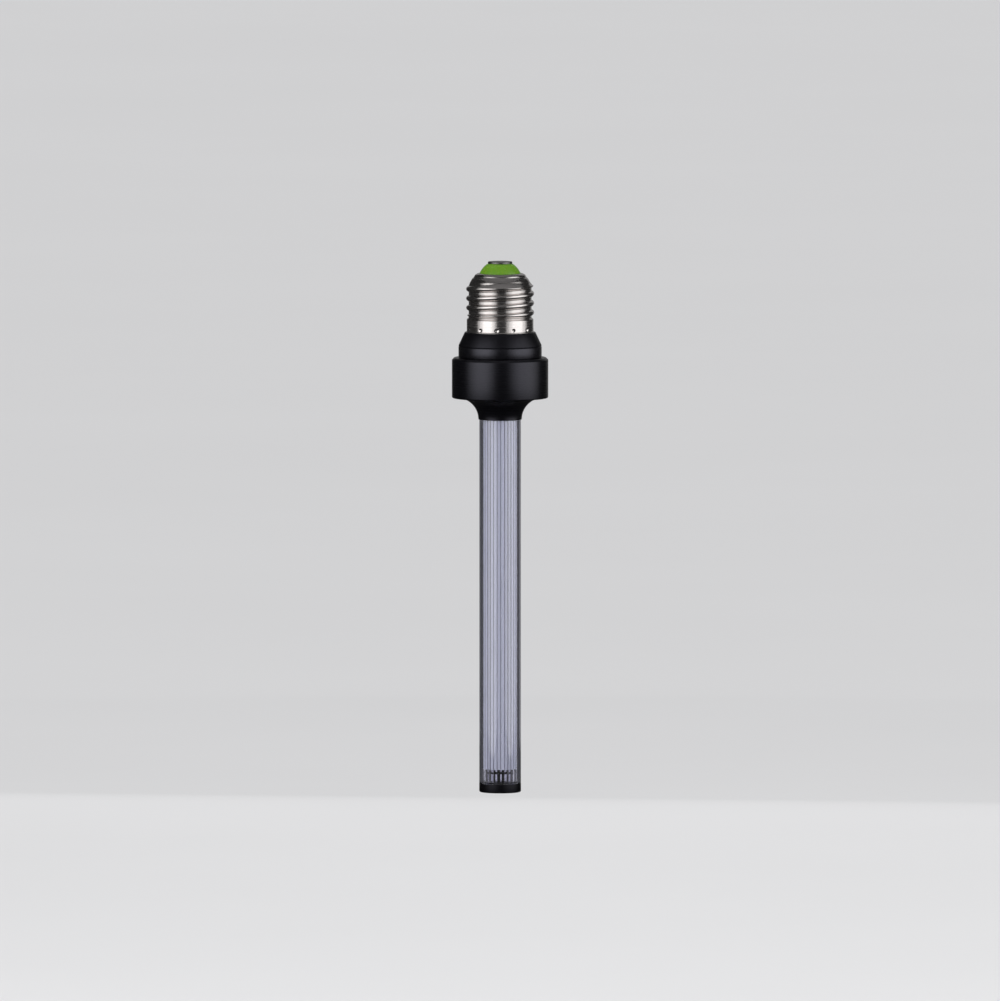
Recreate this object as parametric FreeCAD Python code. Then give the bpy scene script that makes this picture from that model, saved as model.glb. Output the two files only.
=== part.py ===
"""LED tube lamp with a screw cap, cap up.

Millimetres. The lamp's axis is Z, and the origin is the middle of the centre contact's outer face,
so every other piece lies below it. Heights are measured along the lamp from that face, downwards.
"""

import FreeCAD, Part
import os
from math import atan2, cos, pi, radians, sin, sqrt, tan

V = FreeCAD.Vector

# Centre contact and the green insulator
contact_radius = 4.7
contact_thickness = 0.8
contact_edge = 0.25
stem_radius = 1.2
stem_length = 6.4
insulator_top_handle = (1.3, 0.65)
insulator_foot_handle = (0.65, 1.5)
insulator_height = 3.7
insulator_flange_depth = 4.0
insulator_flange_start = 0.75
stem_clearance = 0.06

# Screw shell: sheet metal with a rolled knuckle thread
sheet = 0.3
mouth_radius = 7.95
lip_width = 0.45
shoulder_depth = 4.9
shoulder_top_handle = (1.5, 0.5)
shoulder_foot_handle = (0.8, 2.4)
thread_root_radius = 12.1
thread_crest_height = 1.0
thread_crest_width = 2.1
thread_crest_flats = 5
thread_sink = 0.12
run_out_sink = 1.0
thread_pitch = 25.4 / 7
thread_below_mouth = 3.1
thread_length = 14.8
thread_fade = 2.2
right_crest_below_start = 1.15
seam_angle = 37.0
skirt_step = 0.75
skirt_length = 4.8
skirt_blend = 1.0
shell_length = 22.7
rim_flare = 0.3
rim_height = 0.45
stake_count = 12
stake_first_angle = -96.0
stake_punch_radius = 0.75
stake_depth = 0.35
stake_above_rim = 1.25

# Collar: moulded driver housing
collar_lip = 0.75
collar_radius = 16.04
collar_cone_height = 5.5
collar_height = 9.85
collar_wall = 1.6
collar_seam_depth = 0.25
collar_seam_width = 0.3
neck_length = 14.0
neck_wall = 1.2
neck_clearance = 0.1
stake_groove_extra = 0.1
spigot_length = 3.0
spigot_wall = 1.2
spigot_clearance = 0.1
shadow_gap = 0.35

# Heat sink: turned body with the wide ring and the flare
ring_radius = 18.57
ring_height = 15.55
ring_top_chamfer = 0.85
ring_bottom_break = 0.3
flare_radius = 8.35
flare_edge_wall = 0.32
driver_cavity_radius = 14.0
driver_cavity_depth = 10.4
shelf_thickness = 3.5
wire_hole_radius = 1.6

# Clear tube, light guide and core
tube_radius = 8.0
tube_wall = 1.25
tube_length = 147.7
tube_clearance = 0.06
guide_radius = 6.55
guide_flute_count = 30
guide_flute_depth = 0.32
guide_flute_angle = -3.8
guide_bore_radius = 4.72
core_clearance = 0.15
core_end_gap = 0.2
led_gap = 0.3
ring_seal_height = 1.4
ring_seal_thickness = 1.05
ring_seal_from_tube_top = 1.2
ring_seal_corner = 0.28
seal_clearance = 0.03

# End cap with its post, and the disc on the post
end_cap_radius = 8.05
end_cap_height = 3.45
end_cap_edge = 0.5
end_spigot_height = 0.5
end_spigot_clearance = 0.08
post_radius = 1.95
post_height = 5.4
disc_thickness = 0.3
disc_below_post_top = 1.3
disc_clearance = 0.08
disc_bore_clearance = 0.02

# LED board and what holds it
pad_thickness = 0.3
led_board_thickness = 1.6
led_board_clearance = 0.5
led_count = 6
led_width = 2.8
led_length = 3.5
led_height = 0.75
led_circle_radius = 4.4
led_lens_radius = 1.15
led_lens_depth = 0.2
screw_circle_radius = 5.9
screw_head_radius = 1.4
screw_head_height = 0.9
screw_slot_width = 0.35
screw_shank_radius = 0.8
screw_bite = 2.2
screw_hole_clearance = 0.06
screw_angles = (30.0, 210.0)

# Driver
liner_wall = 0.6
liner_height = 6.5
liner_clearance = 0.1
board_thickness = 1.2
board_face_y = -2.4
board_neck_clearance = 1.18
board_lower_half_width = 11.9
board_below_neck_top = 0.5
board_step_clearance = 1.5
part_seat = 0.05
capacitor_radius = 4.0
capacitor_height = 12.0
capacitor_x = -3.6
capacitor_below_neck_top = 1.8
capacitor_groove = 0.35
capacitor_grooves_up = 4
small_capacitor_radius = 3.15
small_capacitor_height = 9.0
small_capacitor_x = 6.5
small_capacitor_below_collar_top = 5.8
inductor_radius = 4.6
inductor_height = 10.5
inductor_flange = 1.2
inductor_waist_radius = 2.2
inductor_x = -4.6
inductor_below_collar_top = 4.8
winding_clearance = 0.2
resistor_radius = 1.5
resistor_length = 8.0
resistor_x = 4.6
resistor_below_neck_top = 4.3
resistor_end_length = 2.0
resistor_waist_share = 0.85
resistor_wire_radius = 0.3
resistor_wire_reach = 1.2
lead_radius = 0.4
wire_bend_share = 0.45
lead_start_below_neck_top = 3.8
live_lead_x = 1.6
live_lead_turn = 5.0
live_lead_straight = 2.4
neutral_lead_x = -7.0
neutral_lead_over_neck = 1.6
led_lead_on_board = 4.5
led_lead_turn = 2.2
led_lead_in_hole = 0.2
led_lead_place = 0.672
led_lead_gap = 0.1

# Surface-mounted parts: size, pins on a side, pin spacing, place across and along the board
rectifier = dict(width=4.0, length=4.7, height=2.5, pins=2, spacing=2.5, x=0.0, below=8.8)
chip = dict(width=3.9, length=4.9, height=1.5, pins=4, spacing=1.27, x=3.5, below=9.8)
diode = dict(width=2.6, length=4.3, height=2.2, pins=1, spacing=1.0, x=-4.5, below=9.8)
pin_width = 0.5
pin_reach = 0.9
pin_thickness = 0.2

# Radii and depths that follow from the sizes above
insulator_top = contact_thickness
thread_crest_radius = thread_root_radius + thread_crest_height
skirt_radius = thread_root_radius + skirt_step
collar_top_radius = skirt_radius + collar_lip
shell_top = insulator_top + insulator_height
shell_bottom = shell_top + shell_length
skirt_top = shell_bottom - skirt_length
thread_start = shell_top + thread_below_mouth
thread_end = thread_start + thread_length
collar_top = shell_bottom
collar_cylinder_top = collar_top + collar_cone_height
ring_top = collar_top + collar_height
ring_bottom = ring_top + ring_height
flare_bottom = ring_bottom + flare_radius
cavity_floor = ring_top + driver_cavity_depth
shelf_bottom = cavity_floor + shelf_thickness
pad_bottom = shelf_bottom + pad_thickness
led_board_bottom = pad_bottom + led_board_thickness
led_bottom = led_board_bottom + led_height
guide_top = led_bottom + led_gap
end_cap_top = guide_top + tube_length
end_cap_bottom = end_cap_top + end_cap_height
guide_bottom = end_cap_top - end_spigot_height
post_top = end_cap_top - post_height
neck_top = collar_top - neck_length
neck_radius = thread_root_radius - sheet - neck_clearance
neck_foot_radius = skirt_radius - sheet - neck_clearance
tube_bore_radius = tube_radius - tube_wall
socket_radius = tube_radius + tube_clearance
liner_floor = cavity_floor - liner_clearance
board_bottom = liner_floor - liner_wall
board_back_y = board_face_y - board_thickness
board_neck_reach = neck_radius - neck_wall - board_neck_clearance
board_upper_half_width = sqrt(board_neck_reach**2 - board_back_y**2)
capacitor_top = neck_top + capacitor_below_neck_top
small_capacitor_top = collar_top + small_capacitor_below_collar_top
inductor_top = collar_top + inductor_below_collar_top
resistor_top = neck_top + resistor_below_neck_top
lead_start_depth = neck_top + lead_start_below_neck_top
led_board_radius = socket_radius - led_board_clearance


def line(a, b):
    """Straight edge between two points of an outline, given as radius and depth."""
    return Part.LineSegment(V(a[0], 0, -a[1]), V(b[0], 0, -b[1])).toShape()


def arc(a, middle, b):
    """Round edge of an outline, through three points."""
    return Part.Arc(*(V(p[0], 0, -p[1]) for p in (a, middle, b))).toShape()


def curve(a, a_handle, b_handle, b):
    """Smooth edge of an outline, pulled by a handle at each end."""
    bezier = Part.BezierCurve()
    bezier.setPoles([V(p[0], 0, -p[1]) for p in (a, a_handle, b_handle, b)])
    return bezier.toShape()


def turned(*steps):
    """Solid of revolution. A step is a corner, an arc's middle and end, or a curve's handles and end."""
    start = steps[0]
    here = start
    edges = []
    for step in steps[1:] + (start,):
        if isinstance(step[0], tuple):
            edges.append(curve(here, *step) if len(step) == 3 else arc(here, *step))
            here = step[-1]
        else:
            edges.append(line(here, step))
            here = step
    return Part.Face(Part.Wire(edges)).revolve(V(0, 0, 0), V(0, 0, 1), 360)


def ring(outer, inner, top, bottom):
    """Plain ring or, with no inner radius, a disc."""
    disc = Part.makeCylinder(outer, bottom - top, V(0, 0, -bottom))
    if inner <= 0:
        return disc
    return disc.cut(Part.makeCylinder(inner, bottom - top, V(0, 0, -bottom)))


def place_round(shape, angle):
    """Copy of a shape, turned about the lamp's axis."""
    copy = shape.copy()
    copy.rotate(V(0, 0, 0), V(0, 0, 1), angle)
    return copy


def sheet_body(inset):
    """Solid inside the sheet's outer side or, with the sheet as inset, inside its inner side."""
    root = thread_root_radius - inset
    skirt = skirt_radius - inset
    top = (mouth_radius + lip_width, shell_top + inset)
    foot = (root, shell_top + shoulder_depth)
    top_handle = (top[0] + shoulder_top_handle[0], top[1] + shoulder_top_handle[1])
    foot_handle = (foot[0] - shoulder_foot_handle[0], foot[1] - shoulder_foot_handle[1])
    return turned(
        (0, top[1]),
        top,
        (top_handle, foot_handle, foot),
        (root, skirt_top - skirt_blend),
        (skirt, skirt_top),
        (skirt, shell_bottom - rim_height),
        (skirt + rim_flare, shell_bottom),
        (0, shell_bottom),
    )


def thread_limit(inset):
    """Space in which the thread may stand out, tapered at both ends so that it runs out."""
    low = thread_root_radius - inset - run_out_sink
    high = thread_crest_radius - inset + thread_sink
    return turned(
        (0, thread_start),
        (low, thread_start),
        (high, thread_start + thread_fade),
        (high, thread_end - thread_fade),
        (low, thread_end),
        (0, thread_end),
    )


def crest_section(inset):
    """Section of the thread's crest: a round form in narrow flats, closed at its sunk foot."""
    height = thread_crest_radius - thread_root_radius + thread_sink
    half = thread_crest_width / 2 - inset / 2
    round_radius = (height**2 + half**2) / (2 * height)
    spread = 2 * atan2(height, half)
    centre = thread_crest_radius - inset - round_radius
    corners = []
    for index in range(thread_crest_flats + 1):
        angle = spread * (2 * index / thread_crest_flats - 1)
        corners.append(V(centre + round_radius * cos(angle), 0, round_radius * sin(angle)))
    return Part.makePolygon(corners + corners[:1])


def thread_ridge(inset):
    """Crest swept along a right-hand helix, with its foot sunk into the sheet's body."""
    helix = Part.makeHelix(thread_pitch, thread_length, thread_root_radius)
    sweep = Part.BRepOffsetAPI.MakePipeShell(helix)
    sweep.setFrenetMode(True)
    sweep.add(crest_section(inset))
    sweep.build()
    sweep.makeSolid()
    ridge = sweep.shape()
    ridge.translate(V(0, 0, -thread_end))
    turns_to_right = (thread_length - right_crest_below_start) / thread_pitch
    return place_round(ridge, -360 * turns_to_right).common(thread_limit(inset))


def threaded_body(inset):
    """Body with its thread. Its seam is turned away from the thread's, so that the two join cleanly."""
    return place_round(sheet_body(inset), seam_angle).fuse(thread_ridge(inset))


def stake_spheres(radius):
    """Balls round the skirt, where the punch goes in."""
    reach = skirt_radius - stake_depth + stake_punch_radius
    at = V(reach, 0, stake_above_rim - shell_bottom)
    ball = Part.makeSphere(radius, at)
    pitch = 360 / stake_count
    return [place_round(ball, stake_first_angle + index * pitch) for index in range(stake_count)]


def make_screw_shell():
    """Rolled sheet: mouth with its lip, shoulder, knuckle thread, skirt with stake dents and rim."""
    outside = threaded_body(0).cut(stake_spheres(stake_punch_radius))
    inside = threaded_body(sheet).cut(stake_spheres(stake_punch_radius + sheet))
    mouth = ring(mouth_radius, 0, shell_top, shell_top + 2 * sheet)
    return outside.cut([inside, mouth])


def make_centre_contact():
    """Plated disc with a rounded edge, and the stem that takes the live lead."""
    r, t, e = contact_radius, contact_thickness, contact_edge
    slant = e * (1 - sqrt(0.5))
    return turned(
        (0, 0),
        (r - e, 0),
        ((r - slant, slant), (r, e)),
        (r, t),
        (stem_radius, t),
        (stem_radius, t + stem_length),
        (0, t + stem_length),
    )


def make_cap_insulator():
    """Green cone outside the shell's mouth, and the flange that grips under its shoulder."""
    waist = mouth_radius - stem_clearance
    flange_top = shell_top + insulator_flange_start
    flange_bottom = shell_top + insulator_flange_depth
    top, handle = contact_radius, insulator_top_handle
    foot_handle = (waist - insulator_foot_handle[0], shell_top - insulator_foot_handle[1])
    cone = turned(
        (0, insulator_top),
        (top, insulator_top),
        ((top + handle[0], insulator_top + handle[1]), foot_handle, (waist, shell_top)),
        (waist, flange_bottom),
        (0, flange_bottom),
    )
    flange = sheet_body(sheet + stem_clearance).common(
        ring(thread_root_radius, 0, flange_top, flange_bottom)
    )
    hole = ring(stem_radius + stem_clearance, 0, insulator_top, flange_bottom)
    return cone.fuse(flange).cut(hole).removeSplitter()


def make_collar():
    """Moulded housing: neck up inside the shell, cone, cylinder with its seam, and spigot."""
    groove_radius = skirt_radius - sheet - stake_depth - stake_groove_extra
    groove_middle = shell_bottom - stake_above_rim
    groove_half = stake_punch_radius + sheet
    foot_top = skirt_top + skirt_blend / 2
    spigot_radius = driver_cavity_radius + spigot_wall
    outside = turned(
        (0, neck_top),
        (neck_radius, neck_top),
        (neck_radius, foot_top),
        (neck_foot_radius, foot_top),
        (neck_foot_radius, groove_middle - groove_half),
        (groove_radius, groove_middle - groove_half),
        (groove_radius, collar_top),
        (collar_top_radius, collar_top),
        (collar_radius, collar_cylinder_top - collar_seam_width),
        (collar_radius - collar_seam_depth, collar_cylinder_top),
        (collar_radius, collar_cylinder_top + collar_seam_width / 2),
        (collar_radius, ring_top - shadow_gap),
        (collar_radius - shadow_gap, ring_top - shadow_gap),
        (collar_radius - shadow_gap, ring_top),
        (spigot_radius, ring_top),
        (spigot_radius, ring_top + spigot_length),
        (0, ring_top + spigot_length),
    )
    neck_bore = neck_radius - neck_wall
    body_bore = collar_radius - collar_wall
    inside = turned(
        (0, neck_top),
        (neck_bore, neck_top),
        (neck_bore, collar_top + collar_wall),
        (collar_top_radius - collar_wall, collar_top + collar_wall),
        (body_bore, collar_cylinder_top),
        (body_bore, ring_top - collar_wall),
        (driver_cavity_radius, ring_top - collar_wall),
        (driver_cavity_radius, ring_top + spigot_length),
        (0, ring_top + spigot_length),
    )
    return outside.cut(inside)


def make_heat_sink():
    """Turned body: ring, flare, driver cavity, shelf for the LED board and socket for the tube."""
    spigot_bore = driver_cavity_radius + spigot_wall + spigot_clearance
    corner = sqrt(0.5) * flare_radius
    flare_edge = socket_radius + flare_edge_wall
    centre = (flare_edge + flare_radius, flare_bottom)
    body = turned(
        (0, cavity_floor),
        (driver_cavity_radius, cavity_floor),
        (driver_cavity_radius, ring_top + spigot_length + spigot_clearance),
        (spigot_bore, ring_top + spigot_length + spigot_clearance),
        (spigot_bore, ring_top),
        (ring_radius - ring_top_chamfer, ring_top),
        (ring_radius, ring_top + ring_top_chamfer),
        (ring_radius, ring_bottom - ring_bottom_break),
        (ring_radius - ring_bottom_break, ring_bottom),
        (centre[0], ring_bottom),
        ((centre[0] - corner, centre[1] - corner), (flare_edge, flare_bottom)),
        (0, flare_bottom),
    )
    seal_top = guide_top + ring_seal_from_tube_top
    seal_groove = ring(
        socket_radius + ring_seal_thickness,
        0,
        seal_top - seal_clearance,
        seal_top + ring_seal_height + seal_clearance,
    )
    socket = ring(socket_radius, 0, shelf_bottom, flare_bottom)
    wires = ring(wire_hole_radius, 0, cavity_floor, shelf_bottom)
    threads = screw_holes(shelf_bottom - screw_bite - screw_hole_clearance, shelf_bottom)
    return body.cut([socket, seal_groove, wires] + threads)


def screw_holes(top, bottom):
    """Holes for the two screws that hold the LED board."""
    hole = Part.makeCylinder(
        screw_shank_radius + screw_hole_clearance,
        bottom - top,
        V(screw_circle_radius, 0, -bottom),
    )
    return [place_round(hole, angle) for angle in screw_angles]


def make_thermal_pad():
    """Soft pad between the shelf and the LED board."""
    pad = ring(led_board_radius, wire_hole_radius, shelf_bottom, pad_bottom)
    return pad.cut(screw_holes(shelf_bottom, pad_bottom))


def make_led_board():
    """Round metal-core board."""
    board = ring(led_board_radius, wire_hole_radius, pad_bottom, led_board_bottom)
    return board.cut(screw_holes(pad_bottom, led_board_bottom))


def make_leds():
    """Square LED packages on a circle, each with a round dish for its phosphor."""
    body = Part.makeBox(
        led_length,
        led_width,
        led_height,
        V(led_circle_radius - led_length / 2, -led_width / 2, -led_bottom),
    )
    dish = Part.makeCone(
        led_lens_radius,
        led_lens_radius - led_lens_depth,
        led_lens_depth,
        V(led_circle_radius, 0, -led_bottom),
    )
    led = body.cut(dish)
    return Part.makeCompound([place_round(led, 360 * i / led_count) for i in range(led_count)])


def make_board_screws():
    """Cheese-head screws with a straight slot, through the board into the shelf."""
    screws = []
    head_bottom = led_board_bottom + screw_head_height
    for angle in screw_angles:
        at = V(screw_circle_radius, 0, 0)
        head = Part.makeCylinder(screw_head_radius, screw_head_height, at + V(0, 0, -head_bottom))
        shank_length = led_board_bottom - shelf_bottom + screw_bite
        shank = Part.makeCylinder(screw_shank_radius, shank_length, at + V(0, 0, -led_board_bottom))
        slot = Part.makeBox(
            2 * screw_head_radius,
            screw_slot_width,
            screw_head_height / 2,
            at + V(-screw_head_radius, -screw_slot_width / 2, -head_bottom),
        )
        screws.append(place_round(head.fuse(shank).cut(slot), angle))
    return Part.makeCompound(screws)


def make_outer_tube():
    """Clear tube, held in the flare and closed by the end cap."""
    return ring(tube_radius, tube_bore_radius, guide_top, end_cap_top)


def make_tube_ring():
    """Rubber ring in the socket's groove, round the tube."""
    top = guide_top + ring_seal_from_tube_top
    inner = tube_radius + seal_clearance
    outer = socket_radius + ring_seal_thickness - seal_clearance
    bulge = ring_seal_corner
    bottom = top + ring_seal_height
    return turned(
        (inner, top + bulge),
        (inner + bulge, top),
        (outer - bulge, top),
        (outer, top + bulge),
        (outer, bottom - bulge),
        (outer - bulge, bottom),
        (inner + bulge, bottom),
        (inner, bottom - bulge),
    )


def make_fluted_guide():
    """Clear guide with round ribs all round it, over a plain bore."""
    pitch = 2 * pi / guide_flute_count
    valley = guide_radius - guide_flute_depth
    first = radians(guide_flute_angle - 90)
    edges = []
    for index in range(guide_flute_count):
        points = []
        for radius, share in ((valley, -0.5), (guide_radius, 0), (valley, 0.5)):
            angle = first + (index + share) * pitch
            points.append(V(radius * cos(angle), radius * sin(angle), -guide_bottom))
        edges.append(Part.Arc(*points).toShape())
    outline = Part.Face(Part.Wire(edges))
    ribbed = outline.extrude(V(0, 0, guide_bottom - guide_top))
    return ribbed.cut(ring(guide_bore_radius, 0, guide_top, guide_bottom))


def make_light_core():
    """Diffusing rod in the guide's bore, down to just above the end cap's post."""
    return ring(guide_bore_radius - core_clearance, 0, guide_top, post_top - core_end_gap)


def make_centring_disc():
    """Thin disc on the post, which centres the guide."""
    top = post_top + disc_below_post_top
    outer = guide_bore_radius - disc_clearance
    return ring(outer, post_radius + disc_bore_clearance, top, top + disc_thickness)


def make_end_cap():
    """Turned cap: rounded lower edge, shallow spigot in the tube, and the post in one piece."""
    r, e = end_cap_radius, end_cap_edge
    slant = e * (1 - sqrt(0.5))
    spigot = tube_bore_radius - end_spigot_clearance
    return turned(
        (0, post_top),
        (post_radius, post_top),
        (post_radius, guide_bottom),
        (spigot, guide_bottom),
        (spigot, end_cap_top),
        (r, end_cap_top),
        (r, end_cap_bottom - e),
        ((r - slant, end_cap_bottom - slant), (r - e, end_cap_bottom)),
        (0, end_cap_bottom),
    )


def make_insulating_liner():
    """Plastic cup that keeps the driver off the metal body."""
    outer = driver_cavity_radius - liner_clearance
    cup = ring(outer, 0, liner_floor - liner_height, liner_floor)
    hollow = ring(outer - liner_wall, 0, liner_floor - liner_height, board_bottom)
    return cup.cut([hollow, ring(wire_hole_radius, 0, board_bottom, liner_floor)])


def make_driver_board():
    """Upright board, narrow in the neck and wide in the collar, standing on the liner's floor."""
    top = neck_top + board_below_neck_top
    step = collar_top + collar_wall + board_step_clearance
    upper = Part.makeBox(
        2 * board_upper_half_width,
        board_thickness,
        board_bottom - top,
        V(-board_upper_half_width, board_back_y, -board_bottom),
    )
    lower = Part.makeBox(
        2 * board_lower_half_width,
        board_thickness,
        board_bottom - step,
        V(-board_lower_half_width, board_back_y, -board_bottom),
    )
    return upper.fuse(lower).removeSplitter()


def make_capacitor(radius, height, x, top):
    """Electrolytic can with its rolled groove, lying along the board."""
    bottom = top + height
    groove = capacitor_groove
    up = capacitor_grooves_up
    can = turned(
        (0, top),
        (radius - groove, top),
        (radius, top + groove),
        (radius, bottom - (up + 1) * groove),
        (radius - groove, bottom - up * groove),
        (radius, bottom - (up - 1) * groove),
        (radius, bottom - groove),
        (radius - groove, bottom),
        (0, bottom),
    )
    can.translate(V(x, board_face_y + part_seat + radius, 0))
    return can


def make_inductor_core():
    """Ferrite drum."""
    bottom = inductor_top + inductor_height
    drum = turned(
        (0, inductor_top),
        (inductor_radius, inductor_top),
        (inductor_radius, inductor_top + inductor_flange),
        (inductor_waist_radius, inductor_top + inductor_flange),
        (inductor_waist_radius, bottom - inductor_flange),
        (inductor_radius, bottom - inductor_flange),
        (inductor_radius, bottom),
        (0, bottom),
    )
    drum.translate(V(inductor_x, board_face_y + part_seat + inductor_radius, 0))
    return drum


def make_inductor_winding():
    """Copper winding between the drum's flanges."""
    winding = ring(
        inductor_radius - winding_clearance,
        inductor_waist_radius,
        inductor_top + inductor_flange,
        inductor_top + inductor_height - inductor_flange,
    )
    winding.translate(V(inductor_x, board_face_y + part_seat + inductor_radius, 0))
    return winding


def make_fuse_resistor():
    """Axial resistor along the board, with its wires turned in to the copper."""
    y = board_face_y + part_seat + resistor_radius
    bottom = resistor_top + resistor_length
    body = Part.makeCylinder(resistor_radius, resistor_length, V(resistor_x, y, -bottom))
    waist = ring(
        2 * resistor_radius,
        resistor_waist_share * resistor_radius,
        resistor_top + resistor_end_length,
        bottom - resistor_end_length,
    )
    waist.translate(V(resistor_x, y, 0))
    wires = []
    for start, away in ((resistor_top, -1), (bottom, 1)):
        end = start + away * resistor_wire_reach
        route = [(resistor_x, y, -start), (resistor_x, y, -end), (resistor_x, board_face_y, -end)]
        wires.append(round_wire(route, resistor_wire_radius))
    return body.cut(waist).fuse(wires)


def make_chip(size, datum):
    """Moulded package on the back of the board, its middle so far below the datum, with bent pins."""
    width, length, height = size["width"], size["length"], size["height"]
    depth = datum + size["below"]
    near = board_back_y - part_seat - height
    body = Part.makeBox(width, height, length, V(size["x"] - width / 2, near, -depth - length / 2))
    pins = []
    first = depth - size["spacing"] * (size["pins"] - 1) / 2
    for index in range(size["pins"]):
        z = -(first + index * size["spacing"])
        for side in (-1, 1):
            pins.append(bent_pin(size["x"] + side * width / 2, z, side, height / 2))
    return body.fuse(pins).removeSplitter()


def bent_pin(x, z, side, drop):
    """Flat pin that comes out at x on one side, drops to the board and ends in a foot."""
    middle = x + side * pin_thickness / 2
    low = z - pin_width / 2
    leg_from = V(middle - pin_thickness / 2, board_back_y - drop, low)
    leg = Part.makeBox(pin_thickness, drop, pin_width, leg_from)
    foot_from = V(middle + side * pin_reach / 3 - pin_reach / 2, board_back_y - pin_thickness, low)
    foot = Part.makeBox(pin_reach, pin_thickness, pin_width, foot_from)
    return leg.fuse(foot)


def round_wire(points, radius):
    """Wire along straight runs joined by arcs that touch them, each arc as large as its runs allow."""
    points = [V(*p) for p in points]
    edges = []
    here = points[0]
    for before, corner, after in zip(points, points[1:], points[2:]):
        run_in = corner - before
        run_out = after - corner
        turn = run_in.getAngle(run_out)
        reach = wire_bend_share * min(run_in.Length, run_out.Length)
        bend = reach / tan(turn / 2)
        start = corner - run_in.normalize() * reach
        end = corner + run_out.normalize() * reach
        inwards = (start - corner).normalize() + (end - corner).normalize()
        to_arc = bend / cos(turn / 2) - bend
        middle = corner + inwards.normalize() * to_arc
        edges.append(Part.LineSegment(here, start).toShape())
        edges.append(Part.Arc(start, middle, end).toShape())
        here = end
    edges.append(Part.LineSegment(here, points[-1]).toShape())
    path = Part.Wire(edges)
    section = Part.Wire(Part.Circle(points[0], points[1] - points[0], radius).toShape())
    return path.makePipeShell([section], True, False)


def make_live_lead():
    """Lead from the board's top to the centre contact's stem."""
    y = board_face_y + lead_radius
    stem_end = contact_thickness + stem_length
    return round_wire(
        [
            (live_lead_x, y, -lead_start_depth),
            (live_lead_x, y, -(stem_end + live_lead_turn)),
            (0, 0, -(stem_end + live_lead_straight)),
            (0, 0, -stem_end),
        ],
        lead_radius,
    )


def make_neutral_lead():
    """Lead from the board's top, over the neck's rim, to the inside of the screw shell."""
    y = board_face_y + lead_radius
    height = neck_top - neutral_lead_over_neck
    wall = thread_root_radius - sheet - neck_clearance
    return round_wire(
        [
            (neutral_lead_x, y, -lead_start_depth),
            (neutral_lead_x, y, -height),
            (-sqrt(wall**2 - (abs(y) + lead_radius) ** 2), y, -height),
        ],
        lead_radius,
    )


def make_led_lead(side):
    """Lead from the board, through the wire hole, to the LED board's copper."""
    y = board_face_y + lead_radius
    inner = side * led_lead_place
    start = board_bottom - led_lead_on_board
    landing = led_board_bottom + lead_radius
    return round_wire(
        [
            (inner, y, -start),
            (inner, y, -(board_bottom - led_lead_turn)),
            (inner, 0, -(board_bottom - led_lead_in_hole)),
            (inner, 0, -landing),
            (side * (led_circle_radius - led_length / 2 - led_lead_gap), 0, -landing),
        ],
        lead_radius,
    )


PARTS = {
    "centre_contact": make_centre_contact,
    "cap_insulator": make_cap_insulator,
    "screw_shell": make_screw_shell,
    "collar": make_collar,
    "heat_sink": make_heat_sink,
    "outer_tube": make_outer_tube,
    "fluted_guide": make_fluted_guide,
    "light_core": make_light_core,
    "centring_disc": make_centring_disc,
    "end_cap": make_end_cap,
    "tube_ring": make_tube_ring,
    "thermal_pad": make_thermal_pad,
    "led_board": make_led_board,
    "leds": make_leds,
    "board_screws": make_board_screws,
    "insulating_liner": make_insulating_liner,
    "driver_board": make_driver_board,
    "input_capacitor": lambda: make_capacitor(
        capacitor_radius, capacitor_height, capacitor_x, capacitor_top
    ),
    "output_capacitor": lambda: make_capacitor(
        small_capacitor_radius, small_capacitor_height, small_capacitor_x, small_capacitor_top
    ),
    "inductor_core": make_inductor_core,
    "inductor_winding": make_inductor_winding,
    "fuse_resistor": make_fuse_resistor,
    "bridge_rectifier": lambda: make_chip(rectifier, neck_top),
    "driver_chip": lambda: make_chip(chip, collar_top),
    "output_diode": lambda: make_chip(diode, collar_top),
    "live_lead": make_live_lead,
    "neutral_lead": make_neutral_lead,
    "led_lead_positive": lambda: make_led_lead(1),
    "led_lead_negative": lambda: make_led_lead(-1),
}

os.makedirs("parts", exist_ok=True)
for name, make in PARTS.items():
    shape = make()
    print(f"{name}: {len(shape.Solids)} solid, {shape.Volume:.1f} mm3, valid {shape.isValid()}")
    shape.exportStep(f"parts/{name}.step")
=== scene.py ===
"""Looks of the slim LED tube lamp, cap up, round its fixed frame.

Outlines are written in millimetres as radius and depth, where depth counts down from the centre contact's
outer face. Everything that Blender gets is in metres.
"""

from math import atan2, cos, hypot, pi, radians, sin, sqrt
import bpy
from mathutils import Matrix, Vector


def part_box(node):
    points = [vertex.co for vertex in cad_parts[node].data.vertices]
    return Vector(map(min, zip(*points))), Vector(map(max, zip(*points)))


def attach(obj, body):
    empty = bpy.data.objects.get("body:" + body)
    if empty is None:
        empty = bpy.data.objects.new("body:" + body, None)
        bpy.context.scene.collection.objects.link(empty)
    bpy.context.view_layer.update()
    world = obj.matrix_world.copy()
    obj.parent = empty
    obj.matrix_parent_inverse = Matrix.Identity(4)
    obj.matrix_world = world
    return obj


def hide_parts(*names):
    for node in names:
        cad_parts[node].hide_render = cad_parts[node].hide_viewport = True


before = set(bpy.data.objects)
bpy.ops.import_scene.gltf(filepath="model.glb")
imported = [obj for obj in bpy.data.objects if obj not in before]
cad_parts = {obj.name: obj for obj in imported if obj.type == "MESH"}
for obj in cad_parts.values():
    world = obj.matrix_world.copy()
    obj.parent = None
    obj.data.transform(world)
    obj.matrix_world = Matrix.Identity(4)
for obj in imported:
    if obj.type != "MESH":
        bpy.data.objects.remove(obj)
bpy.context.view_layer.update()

MM = 0.001

# Vertices round a turned piece and round the screw shell, and how near in metres two of them count as one
ROUND, SHELL_ROUND = 192, 256
SAME_PLACE = 1e-6


# ---- Helpers: outlines -------------------------------------------------------------------------------

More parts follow.
